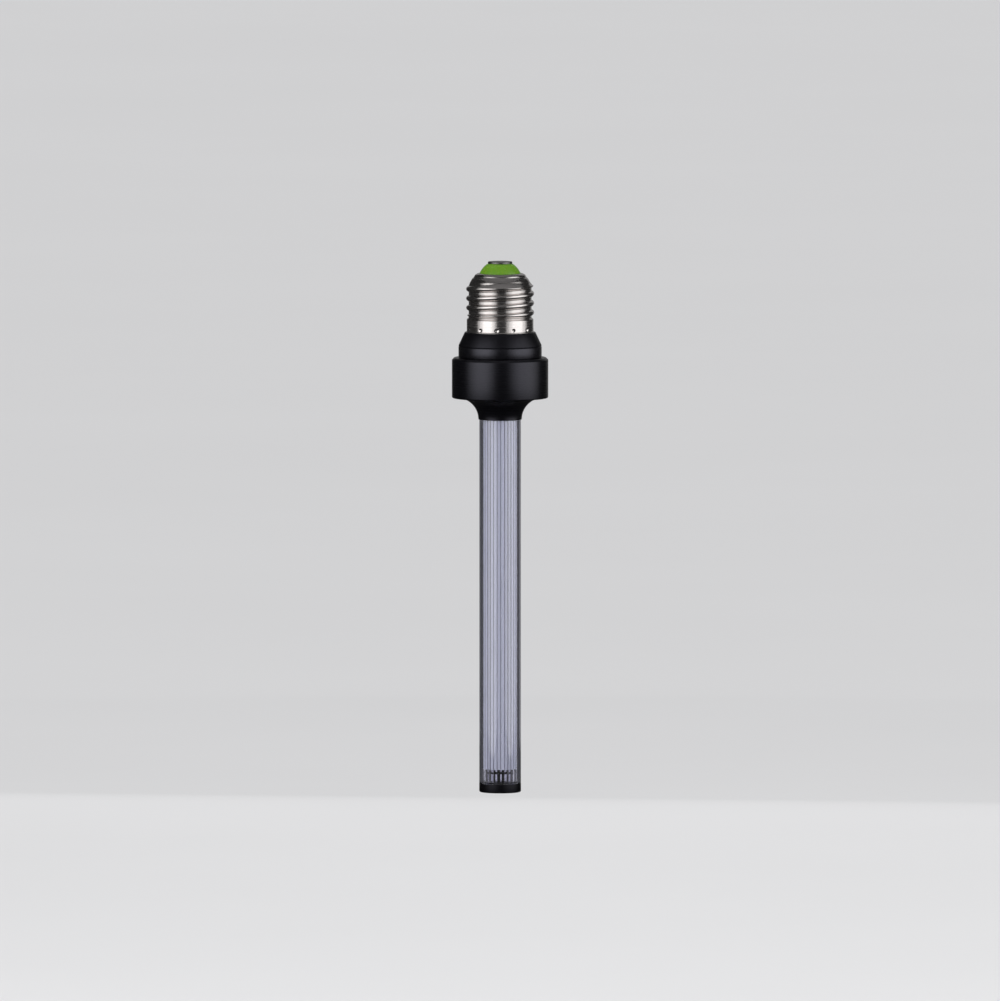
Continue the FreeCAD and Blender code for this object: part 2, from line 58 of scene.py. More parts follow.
def bezier(start, start_handle, end_handle, end, count):
    """Points along a smooth curve, its first point left out."""
    points = []
    for step in range(1, count + 1):
        t = step / count
        a, b, c, d = (1 - t) ** 3, 3 * t * (1 - t) ** 2, 3 * t * t * (1 - t), t**3
        points.append(tuple(
            a * p + b * q + c * r + d * s
            for p, q, r, s in zip(start, start_handle, end_handle, end)
        ))
    return points


def arc(centre, radius, first, last, count):
    """Points of an arc from one angle to the other: 0 points outwards, 90 points down the lamp."""
    points = []
    for step in range(count + 1):
        angle = radians(first + (last - first) * step / count)
        points.append((centre[0] + radius * cos(angle), centre[1] + radius * sin(angle)))
    return points


# ---- Helpers: modelling ------------------------------------------------------------------------------

def nothing_selected():
    bpy.ops.object.select_all(action="DESELECT")


def draw_out(outline):
    """Draws the selected ring out along an outline, one new ring for each of its points."""
    radius, depth = outline[0]
    for next_radius, next_depth in outline[1:]:
        move = (0, 0, -(next_depth - depth) * MM)
        bpy.ops.mesh.extrude_region_move(TRANSFORM_OT_translate={"value": move})
        share = next_radius / radius
        bpy.ops.transform.resize(value=(share, share, 1), center_override=(0, 0, 0))
        radius, depth = next_radius, next_depth


def turned_piece(name, outline, closed=True, open_ends=False, around=ROUND):
    """Piece of revolution. A closed outline comes back to its start, and one that isn't is capped at both
    ends, unless they stay open."""
    nothing_selected()
    radius, depth = outline[0]
    bpy.ops.mesh.primitive_circle_add(
        vertices=around, radius=radius * MM, location=(0, 0, -depth * MM)
    )
    piece = bpy.context.object
    piece.name = piece.data.name = name
    bpy.ops.object.transform_apply(location=True, rotation=True, scale=True)
    bpy.ops.object.mode_set(mode="EDIT")
    bpy.ops.mesh.select_all(action="SELECT")
    capped = not closed and not open_ends
    if capped:
        close_pole(piece, keep_ring=True)
    draw_out(outline + outline[:1] if closed else outline)
    if capped:
        close_pole(piece)
    bpy.ops.mesh.select_all(action="SELECT")
    bpy.ops.mesh.remove_doubles(threshold=SAME_PLACE)
    bpy.ops.mesh.normals_make_consistent(inside=False)
    bpy.ops.object.mode_set(mode="OBJECT")
    return piece


def close_pole(piece, keep_ring=False):
    """Closes the selected ring with a fan of triangles that meet on the axis, and selects the ring again
    where the outline goes on from it."""
    bpy.ops.object.mode_set(mode="OBJECT")
    ring = [vertex.index for vertex in piece.data.vertices if vertex.select]
    bpy.ops.object.mode_set(mode="EDIT")
    bpy.ops.mesh.extrude_region_move()
    bpy.ops.mesh.merge(type="CENTER")
    if keep_ring:
        bpy.ops.mesh.select_all(action="DESELECT")
        bpy.ops.object.mode_set(mode="OBJECT")
        for index in ring:
            piece.data.vertices[index].select = True
        bpy.ops.object.mode_set(mode="EDIT")
        bpy.ops.mesh.select_mode(type="VERT")


def apply_modifier(piece, kind, **settings):
    """Adds a modifier, sets it and applies it."""
    nothing_selected()
    piece.select_set(True)
    bpy.context.view_layer.objects.active = piece
    bpy.ops.object.modifier_add(type=kind)
    modifier = piece.modifiers[-1]
    for name, value in settings.items():
        setattr(modifier, name, value)
    bpy.ops.object.modifier_apply(modifier=modifier.name)


def soften_edges(piece, width, angle=30):
    """Small rounding on the piece's edges that are sharper than an angle."""
    apply_modifier(
        piece, "BEVEL", width=width * MM, segments=2, limit_method="ANGLE", angle_limit=radians(angle),
        harden_normals=False,
    )


def finish_piece(piece, node, material, smooth=35):
    """Smooths a piece, gives it its finish and puts it in the place of its CAD node."""
    nothing_selected()
    piece.select_set(True)
    bpy.context.view_layer.objects.active = piece
    bpy.ops.object.shade_smooth_by_angle(angle=radians(smooth))
    piece.data.materials.clear()
    piece.data.materials.append(material)
    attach(piece, "root")
    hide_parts(node)


def add_second_finish(piece, material, first_depth, last_depth):
    """Gives the faces between two depths a finish of their own."""
    piece.data.materials.append(material)
    for face in piece.data.polygons:
        if first_depth < -face.center.z / MM < last_depth:
            face.material_index = 1


# ---- Helpers: finishes -------------------------------------------------------------------------------

def add_node(tree, kind, place=(0, 0), **settings):
    made = tree.nodes.new(kind)
    made.location = place
    for name, value in settings.items():
        setattr(made, name, value)
    return made


def set_inputs(made, **values):
    for name, value in values.items():
        made.inputs[name.replace("_", " ")].default_value = value
    return made


def new_group(name, inputs, outputs):
    """Shader node group with named inputs, given as name: (kind, value), and named outputs."""
    tree = bpy.data.node_groups.new(name, "ShaderNodeTree")
    for label, (kind, value) in inputs.items():
        socket = tree.interface.new_socket(name=label, in_out="INPUT", socket_type=kind)
        socket.default_value = value
    for label, kind in outputs.items():
        tree.interface.new_socket(name=label, in_out="OUTPUT", socket_type=kind)
    start = add_node(tree, "NodeGroupInput", (-900, 0))
    end = add_node(tree, "NodeGroupOutput", (600, 0))
    return tree, start, end


FLOAT, COLOUR = "NodeSocketFloat", "NodeSocketColor"

# Where nearly all of a noise lies, how much finer the grain is than the cloud, and scales of the clouds
NOISE_LOW, NOISE_HIGH = 0.3, 0.7
GRAIN_TO_CLOUD = 14.0
TURNED_CLOUD, PLATED_CLOUD, ACRYLIC_CLOUD = 160.0, 220.0, 60.0
BUMP_STRENGTH = 0.5
ACRYLIC_IOR = 1.49

# Dust: the noise where specks begin and are full, and how far up a surface has to look
SPECK_FROM, SPECK_FULL, LOOKS_UP = 0.52, 0.75, 0.15


def make_fine_grain():
    """Cloudy change of roughness with a finer grain for the bump, as on moulded and plated surfaces."""
    tree, start, end = new_group(
        "fine grain",
        {"Scale": (FLOAT, 400.0), "Low": (FLOAT, 0.3), "High": (FLOAT, 0.4)},
        {"Roughness": FLOAT, "Height": FLOAT, "Cloud": FLOAT},
    )
    place = add_node(tree, "ShaderNodeTexCoord", (-700, -200))
    cloud = add_node(tree, "ShaderNodeTexNoise", (-400, 100))
    set_inputs(cloud, Detail=5.0, Roughness=0.6)
    grain = add_node(tree, "ShaderNodeTexNoise", (-400, -250))
    set_inputs(grain, Detail=2.0, Roughness=0.5)
    finer = add_node(tree, "ShaderNodeMath", (-600, -350), operation="MULTIPLY")
    finer.inputs[1].default_value = GRAIN_TO_CLOUD
    spread = add_node(tree, "ShaderNodeMapRange", (-100, 100))
    set_inputs(spread, From_Min=NOISE_LOW, From_Max=NOISE_HIGH)
    link = tree.links.new
    link(place.outputs["Object"], cloud.inputs["Vector"])
    link(place.outputs["Object"], grain.inputs["Vector"])
    link(start.outputs["Scale"], cloud.inputs["Scale"])
    link(start.outputs["Scale"], finer.inputs[0])
    link(finer.outputs[0], grain.inputs["Scale"])
    link(cloud.outputs["Fac"], spread.inputs["Value"])
    link(start.outputs["Low"], spread.inputs["To Min"])
    link(start.outputs["High"], spread.inputs["To Max"])
    link(spread.outputs["Result"], end.inputs["Roughness"])
    link(grain.outputs["Fac"], end.inputs["Height"])
    link(cloud.outputs["Fac"], end.inputs["Cloud"])
    return tree


def make_turned_lines():
    """Fine rings that a turning tool leaves round the axis, on the sides and on the flat ends alike."""
    tree, start, end = new_group(
        "turned lines",
        {"Scale": (FLOAT, 6000.0), "Low": (FLOAT, 0.25), "High": (FLOAT, 0.4)},
        {"Roughness": FLOAT, "Height": FLOAT},
    )
    place = add_node(tree, "ShaderNodeTexCoord", (-900, -200))
    parts = add_node(tree, "ShaderNodeSeparateXYZ", (-740, -200))
    flat = add_node(tree, "ShaderNodeCombineXYZ", (-580, -300))
    out = add_node(tree, "ShaderNodeVectorMath", (-420, -300), operation="LENGTH")
    along = add_node(tree, "ShaderNodeMath", (-260, -200), operation="ADD")
    scaled = add_node(tree, "ShaderNodeMath", (-120, -200), operation="MULTIPLY")
    lines = add_node(tree, "ShaderNodeTexNoise", (40, -200), noise_dimensions="1D")
    set_inputs(lines, Scale=1.0, Detail=3.0, Roughness=0.65)
    spread = add_node(tree, "ShaderNodeMapRange", (220, 100))
    set_inputs(spread, From_Min=NOISE_LOW, From_Max=NOISE_HIGH)
    link = tree.links.new
    link(place.outputs["Object"], parts.inputs[0])
    link(parts.outputs["X"], flat.inputs["X"])
    link(parts.outputs["Y"], flat.inputs["Y"])
    link(flat.outputs[0], out.inputs[0])
    link(out.outputs["Value"], along.inputs[0])
    link(parts.outputs["Z"], along.inputs[1])
    link(along.outputs[0], scaled.inputs[0])
    link(start.outputs["Scale"], scaled.inputs[1])
    link(scaled.outputs[0], lines.inputs["W"])
    link(lines.outputs["Fac"], spread.inputs["Value"])
    link(start.outputs["Low"], spread.inputs["To Min"])
    link(start.outputs["High"], spread.inputs["To Max"])
    link(spread.outputs["Result"], end.inputs["Roughness"])
    link(lines.outputs["Fac"], end.inputs["Height"])
    return tree


def make_settled_dust():
    """Thin specks of dust, only where a surface looks up."""
    tree, start, end = new_group(
        "settled dust",
        {
            "Colour": (COLOUR, (0.01, 0.01, 0.01, 1)),
            "Dust": (COLOUR, (0.3, 0.29, 0.27, 1)),
            "Amount": (FLOAT, 0.1),
        },
        {"Colour": COLOUR},
    )
    place = add_node(tree, "ShaderNodeTexCoord", (-900, 0))
    specks = add_node(tree, "ShaderNodeTexNoise", (-700, 100))
    set_inputs(specks, Scale=2200.0, Detail=4.0, Roughness=0.7)
    sparse = add_node(tree, "ShaderNodeMapRange", (-500, 100))
    set_inputs(sparse, From_Min=SPECK_FROM, From_Max=SPECK_FULL)
    parts = add_node(tree, "ShaderNodeSeparateXYZ", (-700, -200))
    up = add_node(tree, "ShaderNodeMapRange", (-500, -200))
    set_inputs(up, From_Min=LOOKS_UP, From_Max=1.0)
    both = add_node(tree, "ShaderNodeMath", (-300, 0), operation="MULTIPLY")
    share = add_node(tree, "ShaderNodeMath", (-120, 0), operation="MULTIPLY")
    mix = add_node(tree, "ShaderNodeMix", (100, 0), data_type="RGBA")
    link = tree.links.new
    link(place.outputs["Object"], specks.inputs["Vector"])
    link(specks.outputs["Fac"], sparse.inputs["Value"])
    link(place.outputs["Normal"], parts.inputs[0])
    link(parts.outputs["Z"], up.inputs["Value"])
    link(sparse.outputs["Result"], both.inputs[0])
    link(up.outputs["Result"], both.inputs[1])
    link(both.outputs[0], share.inputs[0])
    link(start.outputs["Amount"], share.inputs[1])
    link(share.outputs[0], mix.inputs["Factor"])
    link(start.outputs["Colour"], mix.inputs["A"])
    link(start.outputs["Dust"], mix.inputs["B"])
    link(mix.outputs["Result"], end.inputs["Colour"])
    return tree


fine_grain = make_fine_grain()
turned_lines = make_turned_lines()
settled_dust = make_settled_dust()


def new_finish(name):
    """New material, with its tree and its shader."""
    material = bpy.data.materials.new(name)
    material.use_nodes = True
    tree = material.node_tree
    return material, tree, tree.nodes["Principled BSDF"]


def use_group(tree, group, **values):
    made = add_node(tree, "ShaderNodeGroup", (-600, 0), node_tree=group)
    return set_inputs(made, **values)


def bump_from(tree, shader, height, distance):
    """Bump of a given height in millimetres."""
    bump = add_node(tree, "ShaderNodeBump", (-250, -300))
    set_inputs(bump, Strength=BUMP_STRENGTH, Distance=distance * MM)
    tree.links.new(height, bump.inputs["Height"])
    tree.links.new(bump.outputs["Normal"], shader.inputs["Normal"])


def two_tone(tree, factor, dark, light):
    """Colour between two tones."""
    mix = add_node(tree, "ShaderNodeMix", (-250, 200), data_type="RGBA")
    set_inputs(mix, A=(*dark, 1), B=(*light, 1))
    tree.links.new(factor, mix.inputs["Factor"])
    return mix.outputs["Result"]


def tones_with_dust(tree, shader, factor, dark, light, dust):
    """Colours the shader in two tones, with dust on what looks up."""
    colour = two_tone(tree, factor, dark, light)
    if dust:
        layer = use_group(tree, settled_dust, Amount=dust)
        tree.links.new(colour, layer.inputs["Colour"])
        colour = layer.outputs["Colour"]
    tree.links.new(colour, shader.inputs["Base Color"])


def grained_finish(name, dark, light, scale, low, high, bump=0.0, dust=0.0, **fixed):
    """Finish with a cloudy two-tone colour, uneven gloss and a fine grain."""
    material, tree, shader = new_finish(name)
    grain = use_group(tree, fine_grain, Scale=scale, Low=low, High=high)
    tree.links.new(grain.outputs["Roughness"], shader.inputs["Roughness"])
    tones_with_dust(tree, shader, grain.outputs["Cloud"], dark, light, dust)
    if bump:
        bump_from(tree, shader, grain.outputs["Height"], bump)
    return with_fixed(material, shader, fixed)


def with_fixed(material, shader, fixed):
    """Sets what stays the same all over a finish."""
    for label, value in fixed.items():
        shader.inputs[label.replace("_", " ")].default_value = value
    return material


def turned_finish(name, dark, light, scale, low, high, bump, dust=0.0, **fixed):
    """Finish of a turned part: rings from the tool under a cloudy two-tone colour."""
    material, tree, shader = new_finish(name)
    lines = use_group(tree, turned_lines, Scale=scale, Low=low, High=high)
    grain = use_group(tree, fine_grain, Scale=TURNED_CLOUD)
    tree.links.new(lines.outputs["Roughness"], shader.inputs["Roughness"])
    tones_with_dust(tree, shader, grain.outputs["Cloud"], dark, light, dust)
    bump_from(tree, shader, lines.outputs["Height"], bump)
    return with_fixed(material, shader, fixed)


# The valleys' film and painted shade thin out over this height above the valleys, in millimetres, and
# darken them to this share
FILM_AND_SHADE_REACH, FILM_AND_SHADE_TONE = 0.45, 0.85


def plated_sheet():
    """Bright nickel on rolled sheet: tool lines round it, and the thread's valleys darkened, partly by a
    film that stays there and partly by painted shade.
    """
    material, tree, shader = new_finish("bright nickel on rolled sheet")
    grain = use_group(tree, fine_grain, Scale=PLATED_CLOUD)
    lines = use_group(tree, turned_lines, Scale=3200.0, Low=0.08, High=0.28)
    tree.links.new(lines.outputs["Roughness"], shader.inputs["Roughness"])
    cloud = two_tone(tree, grain.outputs["Cloud"], (0.62, 0.585, 0.57), (0.86, 0.82, 0.8))
    height = add_node(tree, "ShaderNodeAttribute", (-800, 300), attribute_name="thread_height")
    # painted shade with a film: the thread's valleys darkened by how little they stand out
    film = add_node(tree, "ShaderNodeMapRange", (-600, 300))
    set_inputs(film, From_Min=0.0, From_Max=FILM_AND_SHADE_REACH, To_Min=FILM_AND_SHADE_TONE, To_Max=1.0)
    tree.links.new(height.outputs["Fac"], film.inputs["Value"])
    darken = add_node(tree, "ShaderNodeVectorMath", (-100, 300), operation="SCALE")
    tree.links.new(cloud, darken.inputs[0])
    tree.links.new(film.outputs["Result"], darken.inputs["Scale"])
    tree.links.new(darken.outputs[0], shader.inputs["Base Color"])
    bump_from(tree, shader, lines.outputs["Height"], 0.012)
    return with_fixed(material, shader, {"Metallic": 1.0})


def clear_finish(name, edge_shades, low, high):
    """Clear acrylic with a faint uneven polish. To the camera its colour carries painted shade by how far
    it is turned away, darkest near its edges."""
    material, tree, shader = new_finish(name)
    grain = use_group(tree, fine_grain, Scale=ACRYLIC_CLOUD, Low=low, High=high)
    tree.links.new(grain.outputs["Roughness"], shader.inputs["Roughness"])
    weight = add_node(tree, "ShaderNodeLayerWeight", (-800, 300))
    set_inputs(weight, Blend=0.5)
    ramp = add_node(tree, "ShaderNodeValToRGB", (-600, 300))
    stops = ramp.color_ramp.elements
    while len(stops) < len(edge_shades):
        stops.new(0.5)
    for stop, (place, tone) in zip(stops, edge_shades):
        stop.position, stop.color = place, (*tone, 1)
    tree.links.new(weight.outputs["Facing"], ramp.inputs["Fac"])
    # painted shade: only camera rays see the tube's colour darkened towards its edges
    path = add_node(tree, "ShaderNodeLightPath", (-600, 600))
    white = (1, 1, 1)
    seen = two_tone(tree, path.outputs["Is Camera Ray"], white, white)
    tree.links.new(ramp.outputs["Color"], seen.node.inputs["B"])
    tree.links.new(seen, shader.inputs["Base Color"])
    return with_fixed(material, shader, {"Transmission_Weight": 1.0, "IOR": ACRYLIC_IOR})


# Share of the ribs' height where the painted valley tone ends, and where the ribs' full tint starts
VALLEY_END, RIB_START = 0.12, 0.62


def fluted_finish(name, tint, painted_valley_tone, passes):
    """Acrylic of the fluted guide: each rib a little different, and a painted tone in the valleys between
    them, painted shade where it is darker than the ribs and a painted highlight where it is lighter.
    """
    material, tree, shader = new_finish(name)
    grain = use_group(tree, fine_grain, Scale=ACRYLIC_CLOUD, Low=0.03, High=0.08)
    tree.links.new(grain.outputs["Roughness"], shader.inputs["Roughness"])
    valley = add_node(tree, "ShaderNodeAttribute", (-1100, 300), attribute_name="rib_height")
    tone = add_node(tree, "ShaderNodeAttribute", (-600, 500), attribute_name="rib_tone")
    spread = add_node(tree, "ShaderNodeMapRange", (-700, 300), interpolation_type="SMOOTHSTEP")
    set_inputs(spread, From_Min=VALLEY_END, From_Max=RIB_START)
    link = tree.links.new
    link(valley.outputs["Fac"], spread.inputs["Value"])
    # painted light and shade: the valleys take a tone of their own, darker or lighter than the ribs
    colour = two_tone(tree, spread.outputs["Result"], painted_valley_tone, tint)
    shade = add_node(tree, "ShaderNodeVectorMath", (-100, 300), operation="SCALE")
    link(colour, shade.inputs[0])
    link(tone.outputs["Fac"], shade.inputs["Scale"])
    link(shade.outputs[0], shader.inputs["Base Color"])
    return with_fixed(material, shader, {"Transmission_Weight": passes, "IOR": ACRYLIC_IOR})


COOL_BLACK = (0.86, 0.85, 1.0, 1.0)

# Painted shade on the tube by how far its surface is turned away, 0 facing the camera and 1 edge on
TUBE_EDGE_SHADE = (
    (0.0, (1.0, 1.0, 1.0)), (0.37, (1.0, 1.0, 1.0)), (0.45, (0.06, 0.06, 0.09)),
    (0.53, (0.2, 0.205, 0.29)), (0.62, (0.26, 0.265, 0.35)), (0.78, (0.2, 0.205, 0.27)),
    (1.0, (0.25, 0.26, 0.32)),
)

nickel = plated_sheet()
contact_metal = turned_finish(
    "nickel on the centre contact", (0.2, 0.2, 0.195), (0.3, 0.3, 0.29), 5000.0, 0.3, 0.45, 0.006,
    Metallic=1.0,
)
green_plastic = grained_finish(
    "green insulator", (0.105, 0.25, 0.012), (0.135, 0.29, 0.02), 260.0, 0.22, 0.34, 0.01,
    Subsurface_Weight=0.1, Subsurface_Scale=0.002,
)
black_moulding = grained_finish(
    "black moulding", (0.0008, 0.0008, 0.0014), (0.0016, 0.0016, 0.0026), 500.0, 0.26, 0.36, 0.01, 0.02,
    Specular_IOR_Level=0.8, Specular_Tint=COOL_BLACK,
)
dull_moulding = grained_finish(
    "black moulding of the cone", (0.0008, 0.0008, 0.0014), (0.0016, 0.0016, 0.0026), 500.0, 0.36, 0.44,
    0.01, 0.02, Specular_IOR_Level=0.4, Specular_Tint=COOL_BLACK,
)
black_anodised = turned_finish(
    "black anodised turning", (0.0005, 0.0005, 0.001), (0.001, 0.001, 0.002), 5200.0, 0.24, 0.34, 0.004,
    0.02, Specular_IOR_Level=0.6, Specular_Tint=COOL_BLACK,
)
matt_black = turned_finish(
    "matt black turning", (0.0015, 0.0015, 0.002), (0.003, 0.003, 0.004), 5200.0, 0.32, 0.42, 0.004, 0.02,
    Specular_IOR_Level=0.2, Specular_Tint=COOL_BLACK,
)
flat_black = grained_finish(
    "flat black post", (0.0015, 0.0015, 0.0015), (0.003, 0.003, 0.003), 700.0, 0.8, 0.9, 0.004,
    Specular_IOR_Level=0.02,
)
clear_tube = clear_finish("clear tube", TUBE_EDGE_SHADE, 0.0, 0.02)
# painted shade in the milky guide's valleys; a painted highlight in the valleys of the guide's clear end
milky_guide = fluted_finish("milky fluted guide", (0.76, 0.78, 1.0), (0.22, 0.22, 0.31), 0.1)
clear_guide = fluted_finish("clear end of the guide", (0.82, 0.82, 1.0), (0.88, 0.88, 1.0), 1.0)
lavender = grained_finish(
    "lavender diffusing rod", (0.62, 0.62, 0.78), (0.72, 0.72, 0.86), 90.0, 0.4, 0.5, 0.0, 0.0,
    Subsurface_Weight=0.3, Subsurface_Scale=0.002,
)
black_film = grained_finish(
    "black film", (0.003, 0.003, 0.003), (0.006, 0.006, 0.006), 600.0, 0.6, 0.7, 0.005,
    Specular_IOR_Level=0.1,
)


# ---- Centre contact and insulator --------------------------------------------------------------------

def make_contact():
    outline = [(4.45, 0.0)] + arc((4.45, 0.25), 0.25, -75, 0, 5)
    outline += [(4.7, 0.8), (1.2, 0.8), (1.2, 7.2)]
    piece = turned_piece("contact_disc", outline, closed=False)
    soften_edges(piece, 0.06, angle=50)
    finish_piece(piece, "centre_contact", contact_metal)


def make_insulator():
    waist = 7.89
    outline = [(1.26, 0.8), (4.7, 0.8)]
    outline += bezier((4.7, 0.8), (6.0, 1.45), (waist - 0.65, 3.0), (waist, 4.5), 18)
    outline += [(waist, 5.25), (9.6, 5.9), (10.7, 7.0), (11.2, 8.5), (1.26, 8.5)]
    piece = turned_piece("insulator_cone", outline)
    soften_edges(piece, 0.1)
    finish_piece(piece, "cap_insulator", green_plastic)


# ---- Screw shell -------------------------------------------------------------------------------------

# The sheet and its radii, then the thread's pitch and length
MOUTH, LIP, SHELL_TOP, SHELL_BOTTOM, SHEET = 7.95, 8.4, 4.5, 27.2, 0.3
ROOT, CREST, SKIRT = 12.1, 13.1, 12.85
SHOULDER_FOOT, SKIRT_TOP, SKIRT_BLEND = 9.4, 22.4, 1.0
PITCH, CREST_AT_RIGHT = 25.4 / 7, 8.75
THREAD_START, THREAD_END, THREAD_FADE = 7.6, 22.4, 2.2

# The thread's round form, how it fades at its ends and how softly it rises out of the sheet
CREST_HALF, FORM_BELOW_ROOT, ROUND_SHARE, FLANK_SLOPE = 1.05, 0.12, 0.9, 2
FADE_FROM, THREAD_REACH, BLEND = 1.0, 0.6, 0.02

# Distances between the mesh's rings, the soft step under the lip, and the stake dents
FINE_END, WALL_END, FINE_RINGS, WALL_RINGS, SKIRT_RINGS = 5.6, 23.0, 0.07, 0.165, 0.2
STEP_DEPTH, STEP_LENGTH, STEP_HEIGHT = 5.5, 2.0, 0.18
STAKES, FIRST_STAKE, STAKE_DEPTH, STAKE_ROUND, STAKE_UP = 12, -96.0, 0.35, 0.75, 1.25

shoulder = [(LIP, SHELL_TOP)] + bezier(
    (LIP, SHELL_TOP), (LIP + 1.5, SHELL_TOP + 0.5), (ROOT - 0.8, SHOULDER_FOOT - 2.4),
    (ROOT, SHOULDER_FOOT), 40,
)


def sheet_radius(depth):
    """Radius of the plain sheet, before the thread is rolled in, with the soft step under its lip."""
    if depth < SHOULDER_FOOT:
        off = (depth - STEP_DEPTH) / STEP_LENGTH
        step = STEP_HEIGHT * sin(2 * pi * off) if abs(off) < 0.5 else 0.0
        for (r0, d0), (r1, d1) in zip(shoulder, shoulder[1:]):
            if d0 <= depth <= d1:
                return r0 + (r1 - r0) * (depth - d0) / (d1 - d0) - step
    share = min(max((depth - SKIRT_TOP + SKIRT_BLEND) / SKIRT_BLEND, 0), 1)
    return ROOT + (SKIRT - ROOT) * share * share * (3 - 2 * share)


def sheet_outline():
    """Outer side of the sheet: lip, shoulder, the plain wall in close rings, skirt and rolled rim."""
    outline = [(MOUTH, 4.85), (MOUTH, 4.66), (MOUTH + 0.05, 4.54), (MOUTH + 0.16, SHELL_TOP)]
    depth = SHELL_TOP
    while depth < WALL_END:
        outline.append((sheet_radius(depth), depth))
        depth += FINE_RINGS if depth < FINE_END else WALL_RINGS
    while depth < SHELL_BOTTOM - 0.5:
        outline.append((SKIRT, depth))
        depth += SKIRT_RINGS
    outline += [(SKIRT, SHELL_BOTTOM - 0.48), (SKIRT + 0.13, SHELL_BOTTOM - 0.34)]
    outline += [(SKIRT + 0.27, SHELL_BOTTOM - 0.24), (SKIRT + 0.3, SHELL_BOTTOM - 0.12)]
    outline += [(SKIRT + 0.25, SHELL_BOTTOM - 0.03), (SKIRT + 0.15, SHELL_BOTTOM)]
    return outline


def thread_radius(angle, depth):
    """Radius of the round thread form at a place on the sheet, run out at both ends."""
    crest = CREST_AT_RIGHT - PITCH * angle / (2 * pi)
    off = abs((depth - crest + PITCH / 2) % PITCH - PITCH / 2)
    height = CREST - ROOT + FORM_BELOW_ROOT
    form = (height**2 + CREST_HALF**2) / (2 * height)
    past_round = off - ROUND_SHARE * form
    if past_round < 0:
        rise = sqrt(form**2 - off**2)
    else:
        rise = sqrt(1 - ROUND_SHARE**2) * form - FLANK_SLOPE * past_round
    into = min(depth - THREAD_START, THREAD_END - depth) / THREAD_FADE
    faded = ROOT - FADE_FROM + (height + FADE_FROM) * into
    return min(CREST - form + rise, faded)


def roll_thread(shell):
    """Rolls the thread and the stake dents into the sheet, and keeps how far each place stands out."""
    stood_out = []
    for vertex in shell.data.vertices:
        x, y, depth = vertex.co.x / MM, vertex.co.y / MM, -vertex.co.z / MM
        radius, angle = hypot(x, y), atan2(y, x)
        out = radius
        if THREAD_START - THREAD_REACH < depth < THREAD_END + THREAD_REACH:
            lift = thread_radius(angle, depth) - radius
            out = radius + (lift + sqrt(lift * lift + BLEND)) / 2
        off_depth = depth - (SHELL_BOTTOM - STAKE_UP)
        if abs(off_depth) < STAKE_ROUND:
            step = 2 * pi / STAKES
            off_angle = (angle - radians(FIRST_STAKE) + step / 2) % step - step / 2
            off = hypot(off_angle * SKIRT, off_depth)
            if off < STAKE_ROUND:
                floor = SKIRT - STAKE_DEPTH + STAKE_ROUND - sqrt(STAKE_ROUND**2 - off**2)
                out = min(out, floor)
        vertex.co.x, vertex.co.y = x * out / radius * MM, y * out / radius * MM
        stood_out.append(out - radius if depth < SKIRT_TOP else 1.0)
    height = shell.data.attributes.new("thread_height", "FLOAT", "POINT")
    height.data.foreach_set("value", stood_out)


def make_screw_shell():
    piece = turned_piece(
        "rolled_screw_shell", sheet_outline(), closed=False, open_ends=True, around=SHELL_ROUND,
    )
    roll_thread(piece)
    apply_modifier(piece, "SOLIDIFY", thickness=SHEET * MM, offset=-1.0)
    finish_piece(piece, "screw_shell", nickel, smooth=50)


# ---- Collar and turned body --------------------------------------------------------------------------

CONE_TOP, CONE_FOOT = 27.3, 32.5


def make_collar():
    outline = [(11.7, 13.2), (11.7, 21.9), (12.45, 21.9), (12.45, 24.9), (12.1, 24.9), (12.1, 27.2)]
    outline += [(13.6, 27.2), (16.04, 32.4), (15.79, 32.7), (16.04, 32.85), (16.04, 36.7)]
    outline += [(15.69, 36.7), (15.69, 37.05), (15.2, 37.05), (15.2, 40.05), (14.0, 40.05)]
    outline += [(14.0, 35.45), (14.44, 35.45), (14.44, 32.7), (12.0, 28.8), (10.5, 28.8), (10.5, 13.2)]
    piece = turned_piece("driver_collar", outline)
    soften_edges(piece, 0.12, angle=20)
    finish_piece(piece, "collar", black_moulding)
    add_second_finish(piece, dull_moulding, CONE_TOP, CONE_FOOT)


def make_turned_body():
    outline = [(1.6, 47.45), (14.0, 47.45), (14.0, 40.15), (15.3, 40.15), (15.3, 37.05)]
    outline += [(17.72, 37.05), (18.57, 37.9), (18.57, 52.3), (18.27, 52.6)]
    outline += arc((16.73, 60.95), 8.35, -90, -180, 28)
    outline += [(8.06, 60.95), (8.06, 56.53), (9.11, 56.53), (9.11, 55.07), (8.06, 55.07)]
    outline += [(8.06, 50.95), (1.6, 50.95)]
    piece = turned_piece("turned_body", outline)
    soften_edges(piece, 0.12, angle=25)
    finish_piece(piece, "heat_sink", black_anodised)


# ---- Tube, guide and core ----------------------------------------------------------------------------

def make_outer_tube():
    outline = [(7.85, 53.9), (8.0, 54.05), (8.0, 201.45), (7.85, 201.6)]
    outline += [(6.9, 201.6), (6.75, 201.45), (6.75, 54.05), (6.9, 53.9)]
    piece = turned_piece("clear_tube", outline)
    finish_piece(piece, "outer_tube", clear_tube)


FLUTES, FLUTE_DEPTH, FLUTE_TURN, PER_FLUTE = 30, 0.32, -3.8, 12
RIB_TONE, RIB_TONE_CHANGE = 0.9, 0.14
GUIDE_TOP, GUIDE_CLEAR, GUIDE_BOTTOM, GUIDE_RADIUS, GUIDE_BORE = 53.9, 196.0, 201.1, 6.55, 4.72


def flute_radius(angle):
    """Radius of the guide's outside: round ribs that meet in sharp valleys."""
    pitch = 2 * pi / FLUTES
    off = (angle - radians(FLUTE_TURN - 90) + pitch / 2) % pitch - pitch / 2
    valley = GUIDE_RADIUS - FLUTE_DEPTH
    half, rise = valley * sin(pitch / 2), GUIDE_RADIUS - valley * cos(pitch / 2)
    rib = (half**2 + rise**2) / (2 * rise)
    centre = GUIDE_RADIUS - rib
    return centre * cos(off) + sqrt(rib**2 - (centre * sin(off)) ** 2)


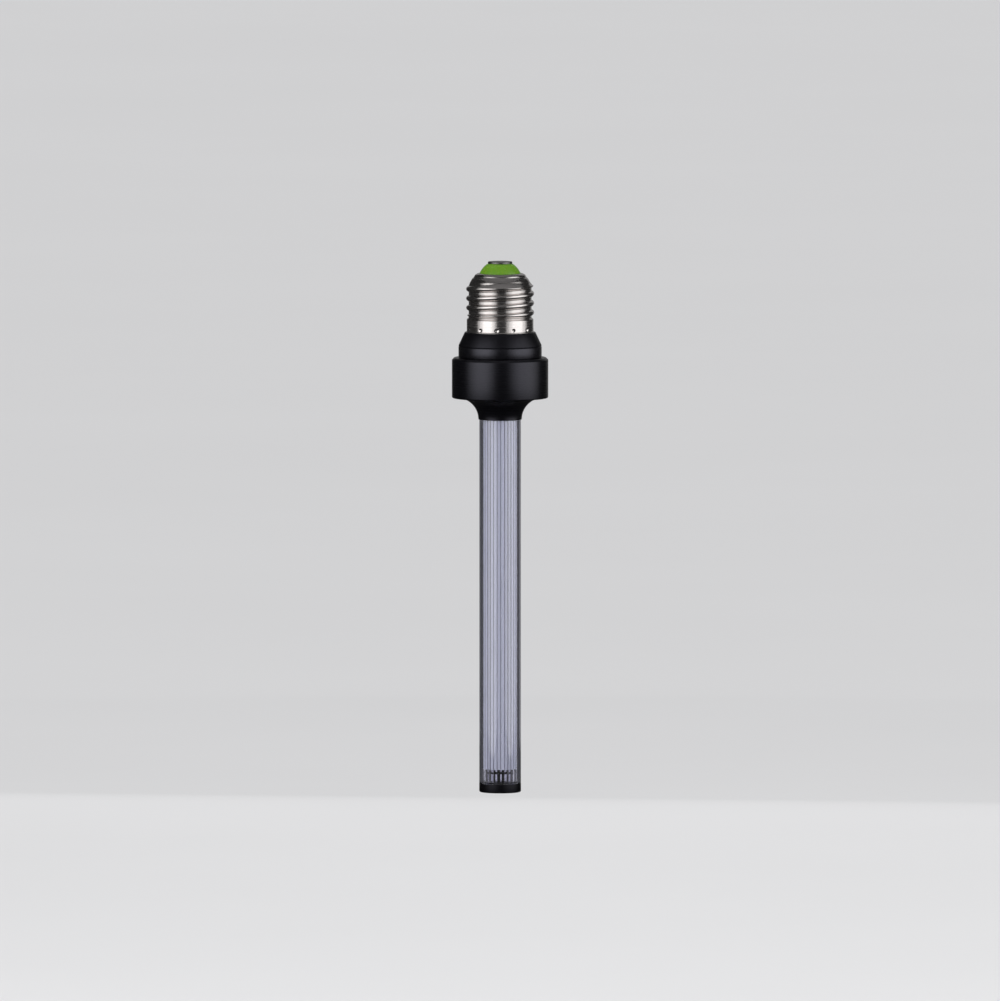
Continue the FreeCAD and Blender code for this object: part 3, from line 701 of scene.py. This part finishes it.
def make_fluted_guide():
    """Guide: a ring shaped into ribs, drawn out along the tube, and joined to its plain bore."""
    nothing_selected()
    around = FLUTES * PER_FLUTE
    top = -GUIDE_TOP * MM
    bpy.ops.mesh.primitive_circle_add(vertices=around, radius=GUIDE_RADIUS * MM, location=(0, 0, top))
    piece = bpy.context.object
    piece.name = piece.data.name = "fluted_light_guide"
    bpy.ops.object.transform_apply(location=True, rotation=True, scale=True)
    for index, vertex in enumerate(piece.data.vertices):
        angle = radians(FLUTE_TURN - 90) + pi / FLUTES + 2 * pi * index / around
        radius = flute_radius(angle) * MM
        vertex.co.x, vertex.co.y = radius * cos(angle), radius * sin(angle)
    bpy.ops.object.mode_set(mode="EDIT")
    bpy.ops.mesh.primitive_circle_add(vertices=around, radius=GUIDE_BORE * MM, location=(0, 0, top))
    bpy.ops.mesh.select_all(action="SELECT")
    bpy.ops.mesh.bridge_edge_loops()
    bpy.ops.mesh.select_all(action="SELECT")
    for start, end in ((GUIDE_TOP, GUIDE_CLEAR), (GUIDE_CLEAR, GUIDE_BOTTOM)):
        move = (0, 0, (start - end) * MM)
        bpy.ops.mesh.extrude_region_move(TRANSFORM_OT_translate={"value": move})
    bpy.ops.mesh.select_all(action="SELECT")
    bpy.ops.mesh.normals_make_consistent(inside=False)
    bpy.ops.object.mode_set(mode="OBJECT")
    mark_ribs(piece)
    finish_piece(piece, "fluted_guide", milky_guide, smooth=30)
    add_second_finish(piece, clear_guide, GUIDE_CLEAR, GUIDE_BOTTOM + 1)


def mark_ribs(piece):
    """Keeps how far each place stands up from the valleys, 0 to 1, and a tone of its own for each rib."""
    heights, tones = [], []
    for vertex in piece.data.vertices:
        x, y = vertex.co.x / MM, vertex.co.y / MM
        heights.append((hypot(x, y) - GUIDE_RADIUS + FLUTE_DEPTH) / FLUTE_DEPTH)
        rib = round((atan2(y, x) - radians(FLUTE_TURN - 90)) / (2 * pi / FLUTES)) % FLUTES
        tones.append(RIB_TONE + RIB_TONE_CHANGE * sin(2.4 * rib) * sin(1.1 * rib + 0.5))
    for name, values in (("rib_height", heights), ("rib_tone", tones)):
        kept = piece.data.attributes.new(name, "FLOAT", "POINT")
        kept.data.foreach_set("value", values)


def make_core():
    outline = [(4.27, 53.9), (4.57, 54.2), (4.57, 195.7), (4.27, 196.0)]
    piece = turned_piece("diffusing_core", outline, closed=False)
    finish_piece(piece, "light_core", lavender)


def make_disc():
    outline = [(4.64, 197.5), (4.64, 197.8), (1.97, 197.8), (1.97, 197.5)]
    piece = turned_piece("centring_washer", outline)
    soften_edges(piece, 0.05)
    finish_piece(piece, "centring_disc", black_film)


POST_TOP, POST_FOOT = 196.2, 201.09


def make_end_cap():
    outline = [(1.95, POST_TOP), (1.95, 201.1), (6.67, 201.1), (6.67, 201.6), (8.05, 201.6)]
    outline += arc((7.55, 204.55), 0.5, 0, 90, 6)
    piece = turned_piece("turned_end_cap", outline, closed=False)
    soften_edges(piece, 0.08)
    finish_piece(piece, "end_cap", matt_black)
    add_second_finish(piece, flat_black, POST_TOP - 1, POST_FOOT)


make_contact()
make_insulator()
make_screw_shell()
make_collar()
make_turned_body()
make_outer_tube()
make_fluted_guide()
make_core()
make_disc()
make_end_cap()


# ---- What is inside ----------------------------------------------------------------------------------

def dress(node, material):
    """Gives its finish to a CAD node that stays as it is."""
    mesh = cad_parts[node].data
    mesh.materials.clear()
    mesh.materials.append(material)


WIRE = (350.0, 0.35, 0.45, 0.008)
GRAINED_INSIDE = (
    ("black rubber", ("tube_ring",), (0.012,) * 3, (0.025,) * 3, (500.0, 0.6, 0.75, 0.02)),
    ("grey thermal pad", ("thermal_pad",), (0.23, 0.24, 0.26), (0.3, 0.31, 0.33), (900.0, 0.6, 0.8, 0.03)),
    (
        "white solder resist", ("led_board",),
        (0.74, 0.74, 0.72), (0.82, 0.82, 0.8), (500.0, 0.3, 0.4, 0.006),
    ),
    ("led package", ("leds",), (0.78, 0.62, 0.16), (0.86, 0.72, 0.26), (700.0, 0.35, 0.5, 0.01)),
    (
        "natural liner", ("insulating_liner",),
        (0.72, 0.69, 0.6), (0.8, 0.77, 0.68), (300.0, 0.35, 0.5, 0.01),
    ),
    ("green board", ("driver_board",), (0.012, 0.09, 0.03), (0.02, 0.13, 0.045), (450.0, 0.25, 0.4, 0.008)),
    (
        "capacitor sleeve", ("input_capacitor", "output_capacitor"),
        (0.015, 0.03, 0.09), (0.025, 0.045, 0.12), (400.0, 0.25, 0.35, 0.006),
    ),
    ("ferrite", ("inductor_core",), (0.03, 0.03, 0.032), (0.06, 0.06, 0.062), (900.0, 0.5, 0.7, 0.03)),
    ("resistor paint", ("fuse_resistor",), (0.35, 0.25, 0.14), (0.46, 0.34, 0.2), (500.0, 0.3, 0.45, 0.01)),
    (
        "chip moulding", ("bridge_rectifier", "driver_chip", "output_diode"),
        (0.015, 0.015, 0.016), (0.03, 0.03, 0.032), (900.0, 0.5, 0.65, 0.02),
    ),
    ("brown insulation", ("live_lead",), (0.09, 0.035, 0.015), (0.13, 0.05, 0.02), WIRE),
    ("blue insulation", ("neutral_lead",), (0.02, 0.07, 0.3), (0.03, 0.1, 0.4), WIRE),
    ("red insulation", ("led_lead_positive",), (0.36, 0.02, 0.015), (0.48, 0.03, 0.02), WIRE),
    ("black insulation", ("led_lead_negative",), (0.01, 0.01, 0.01), (0.02, 0.02, 0.02), WIRE),
)

for name, nodes, dark, light, grain in GRAINED_INSIDE:
    material = grained_finish(name, dark, light, *grain)
    for node in nodes:
        dress(node, material)
dress("board_screws", turned_finish(
    "bright screws", (0.5, 0.5, 0.48), (0.68, 0.67, 0.65), 7000.0, 0.2, 0.35, 0.005, Metallic=1.0,
))
dress("inductor_winding", turned_finish(
    "varnished copper", (0.62, 0.24, 0.1), (0.8, 0.36, 0.16), 4200.0, 0.2, 0.35, 0.05, Metallic=1.0,
))


# ---- Floor, light and camera -------------------------------------------------------------------------

# The set, in metres, with the lights' sides in degrees from the camera's side. The left and the right light
# are strips one before the other, so that they are brightest in the middle.
FLOOR_UNDER_LAMP = 0.09
PALE = (0.72, 0.72, 0.73)
CLOTH_ROUND, CLOTH_HEIGHT = 1.45, 1.8
MIRRORED_FLOOR = 0.2
WORLD_LIGHT = 0.55
TOP_LIGHT, TOP_SPREAD, TOP_TURN = 1.3, 50, (-28, -18, 0)
LIGHT_HEIGHT, LIGHT_AWAY, LIGHT_OFF_FLOOR = 1.12, 0.95, 0.02
STRIPS, STRIP_FORWARD, LEFT_SKEW = (1.0, 0.72, 0.42), 0.01, 5
LEFT_SIDE, LEFT_WIDTH, LEFT_RADIANCE = -48, 1.35, 0.5
RIGHT_SIDE, RIGHT_WIDTH, RIGHT_RADIANCE = 63, 1.65, 0.45
BACK_SIDE, BACK_WIDTH, BACK_RADIANCE = 174, 0.8, 0.25


def dim_where_mirrored(tree, shader):
    """Dims a surface for rays that were mirrored on their way out of a clear part."""
    path = add_node(tree, "ShaderNodeLightPath", (-900, 500))
    mirrored = add_node(tree, "ShaderNodeMath", (-700, 400), operation="GREATER_THAN")
    mirrored.inputs[1].default_value = 0.5
    inside = add_node(tree, "ShaderNodeMath", (-500, 500), operation="MULTIPLY")
    level = add_node(tree, "ShaderNodeMapRange", (-300, 500))
    set_inputs(level, To_Min=1.0, To_Max=MIRRORED_FLOOR)
    dim = add_node(tree, "ShaderNodeVectorMath", (-100, 300), operation="SCALE")
    link = tree.links.new
    link(path.outputs["Glossy Depth"], mirrored.inputs[0])
    link(path.outputs["Is Transmission Ray"], inside.inputs[0])
    link(mirrored.outputs[0], inside.inputs[1])
    link(inside.outputs[0], level.inputs["Value"])
    link(level.outputs["Result"], dim.inputs["Scale"])
    link(shader.inputs["Base Color"].links[0].from_socket, dim.inputs[0])
    link(dim.outputs[0], shader.inputs["Base Color"])


def clear_from_below(tree, shader):
    """Lets a camera under a surface see through it."""
    side = add_node(tree, "ShaderNodeNewGeometry", (-600, -500))
    from_above = add_node(tree, "ShaderNodeMath", (-400, -500), operation="SUBTRACT")
    from_above.inputs[0].default_value = 1.0
    tree.links.new(side.outputs["Backfacing"], from_above.inputs[1])
    tree.links.new(from_above.outputs[0], shader.inputs["Alpha"])


def make_floor(height):
    nothing_selected()
    bpy.ops.mesh.primitive_plane_add(size=60, location=(0, 0, height))
    floor = bpy.context.object
    floor.name = "studio_floor"
    pale_floor = grained_finish(
        "pale studio floor", tuple(0.97 * c for c in PALE), PALE, 3.0, 0.85, 0.95, Specular_IOR_Level=0.1,
    )
    tree = pale_floor.node_tree
    shader = tree.nodes["Principled BSDF"]
    dim_where_mirrored(tree, shader)
    clear_from_below(tree, shader)
    floor.data.materials.append(pale_floor)


def make_world():
    """Even white light from all round."""
    world = bpy.data.worlds.new("studio")
    bpy.context.scene.world = world
    world.use_nodes = True
    tree = world.node_tree
    light = tree.nodes["Background"]
    light.inputs["Color"].default_value = (1, 1, 1, 1)
    light.inputs["Strength"].default_value = WORLD_LIGHT


def make_cloth(name, tone, height, depth=0.0):
    """Cloth that only shows in polished surfaces: upright round the set, or flat over or under it."""
    nothing_selected()
    if depth:
        bpy.ops.mesh.primitive_cylinder_add(
            vertices=64, radius=CLOTH_ROUND, depth=depth, end_fill_type="NOTHING",
            location=(0, 0, height + depth / 2),
        )
    else:
        bpy.ops.mesh.primitive_circle_add(
            vertices=64, radius=CLOTH_ROUND, fill_type="NGON", location=(0, 0, height)
        )
    cloth = bpy.context.object
    cloth.name = name
    dark, light = (0.9 * tone,) * 3, (1.1 * tone,) * 3
    cloth.data.materials.append(grained_finish(name, dark, light, 8.0, 0.9, 1.0, Specular_IOR_Level=0.0))
    cloth.visible_camera = cloth.visible_diffuse = cloth.visible_shadow = False
    cloth.visible_transmission = cloth.visible_volume_scatter = False


def soft_light(name, side, distance, width, radiance):
    """Upright soft light at an angle from the camera's side of the lamp, facing the lamp's axis."""
    angle = radians(side)
    lamp = bpy.data.lights.new(name, "AREA")
    lamp.shape = "RECTANGLE"
    lamp.size, lamp.size_y = width, LIGHT_HEIGHT
    lamp.energy = radiance * pi * width * LIGHT_HEIGHT
    holder = bpy.data.objects.new(name, lamp)
    bpy.context.scene.collection.objects.link(holder)
    middle = floor_height + LIGHT_HEIGHT / 2 + LIGHT_OFF_FLOOR
    holder.location = (distance * sin(angle), -distance * cos(angle), middle)
    facing = Vector((-sin(angle), cos(angle), 0))
    holder.rotation_euler = facing.to_track_quat("-Z", "Y").to_euler()
    holder.visible_camera = False


def top_light():
    """Broad light from above, which leaves no glint on polished surfaces."""
    lamp = bpy.data.lights.new("top light", "SUN")
    lamp.energy = TOP_LIGHT
    lamp.angle = radians(TOP_SPREAD)
    holder = bpy.data.objects.new("top light", lamp)
    bpy.context.scene.collection.objects.link(holder)
    holder.rotation_euler = [radians(turn) for turn in TOP_TURN]
    holder.visible_glossy = False


def make_camera():
    """Long lens, a little above the lamp, as the photograph was taken."""
    lens, sensor = 800.0, 36.0
    pixel, picture_height = 0.0003855, 1001
    elevation = radians(4.5)
    distance = pixel * picture_height * lens / sensor
    target = Vector((-0.00004, 0, -0.09234))
    camera = bpy.data.cameras.new("camera")
    camera.lens = lens
    camera.clip_end = 60
    holder = bpy.data.objects.new("camera", camera)
    bpy.context.scene.collection.objects.link(holder)
    back = Vector((0, -cos(elevation), sin(elevation)))
    holder.location = target + back * distance
    holder.rotation_euler = (-back).to_track_quat("-Z", "Y").to_euler()
    bpy.context.scene.camera = holder


lamp_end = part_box("end_cap")[0].z
floor_height = lamp_end - FLOOR_UNDER_LAMP
make_floor(floor_height)
make_cloth("side cloth", 0.035, floor_height, CLOTH_HEIGHT)
make_cloth("cloth over the set", 0.19, floor_height + CLOTH_HEIGHT)
make_cloth("cloth under the lamp", 0.02, floor_height + 0.005)
make_world()
for share in STRIPS:
    away = LIGHT_AWAY - STRIP_FORWARD / share
    left = LEFT_SIDE + LEFT_SKEW * (1 - share)
    soft_light("left soft light", left, away, LEFT_WIDTH * share, LEFT_RADIANCE)
    soft_light("right soft light", RIGHT_SIDE, away, RIGHT_WIDTH * share, RIGHT_RADIANCE)
soft_light("back soft light", BACK_SIDE, LIGHT_AWAY, BACK_WIDTH, BACK_RADIANCE)
top_light()
make_camera()
bpy.context.scene.view_settings.view_transform = "Standard"
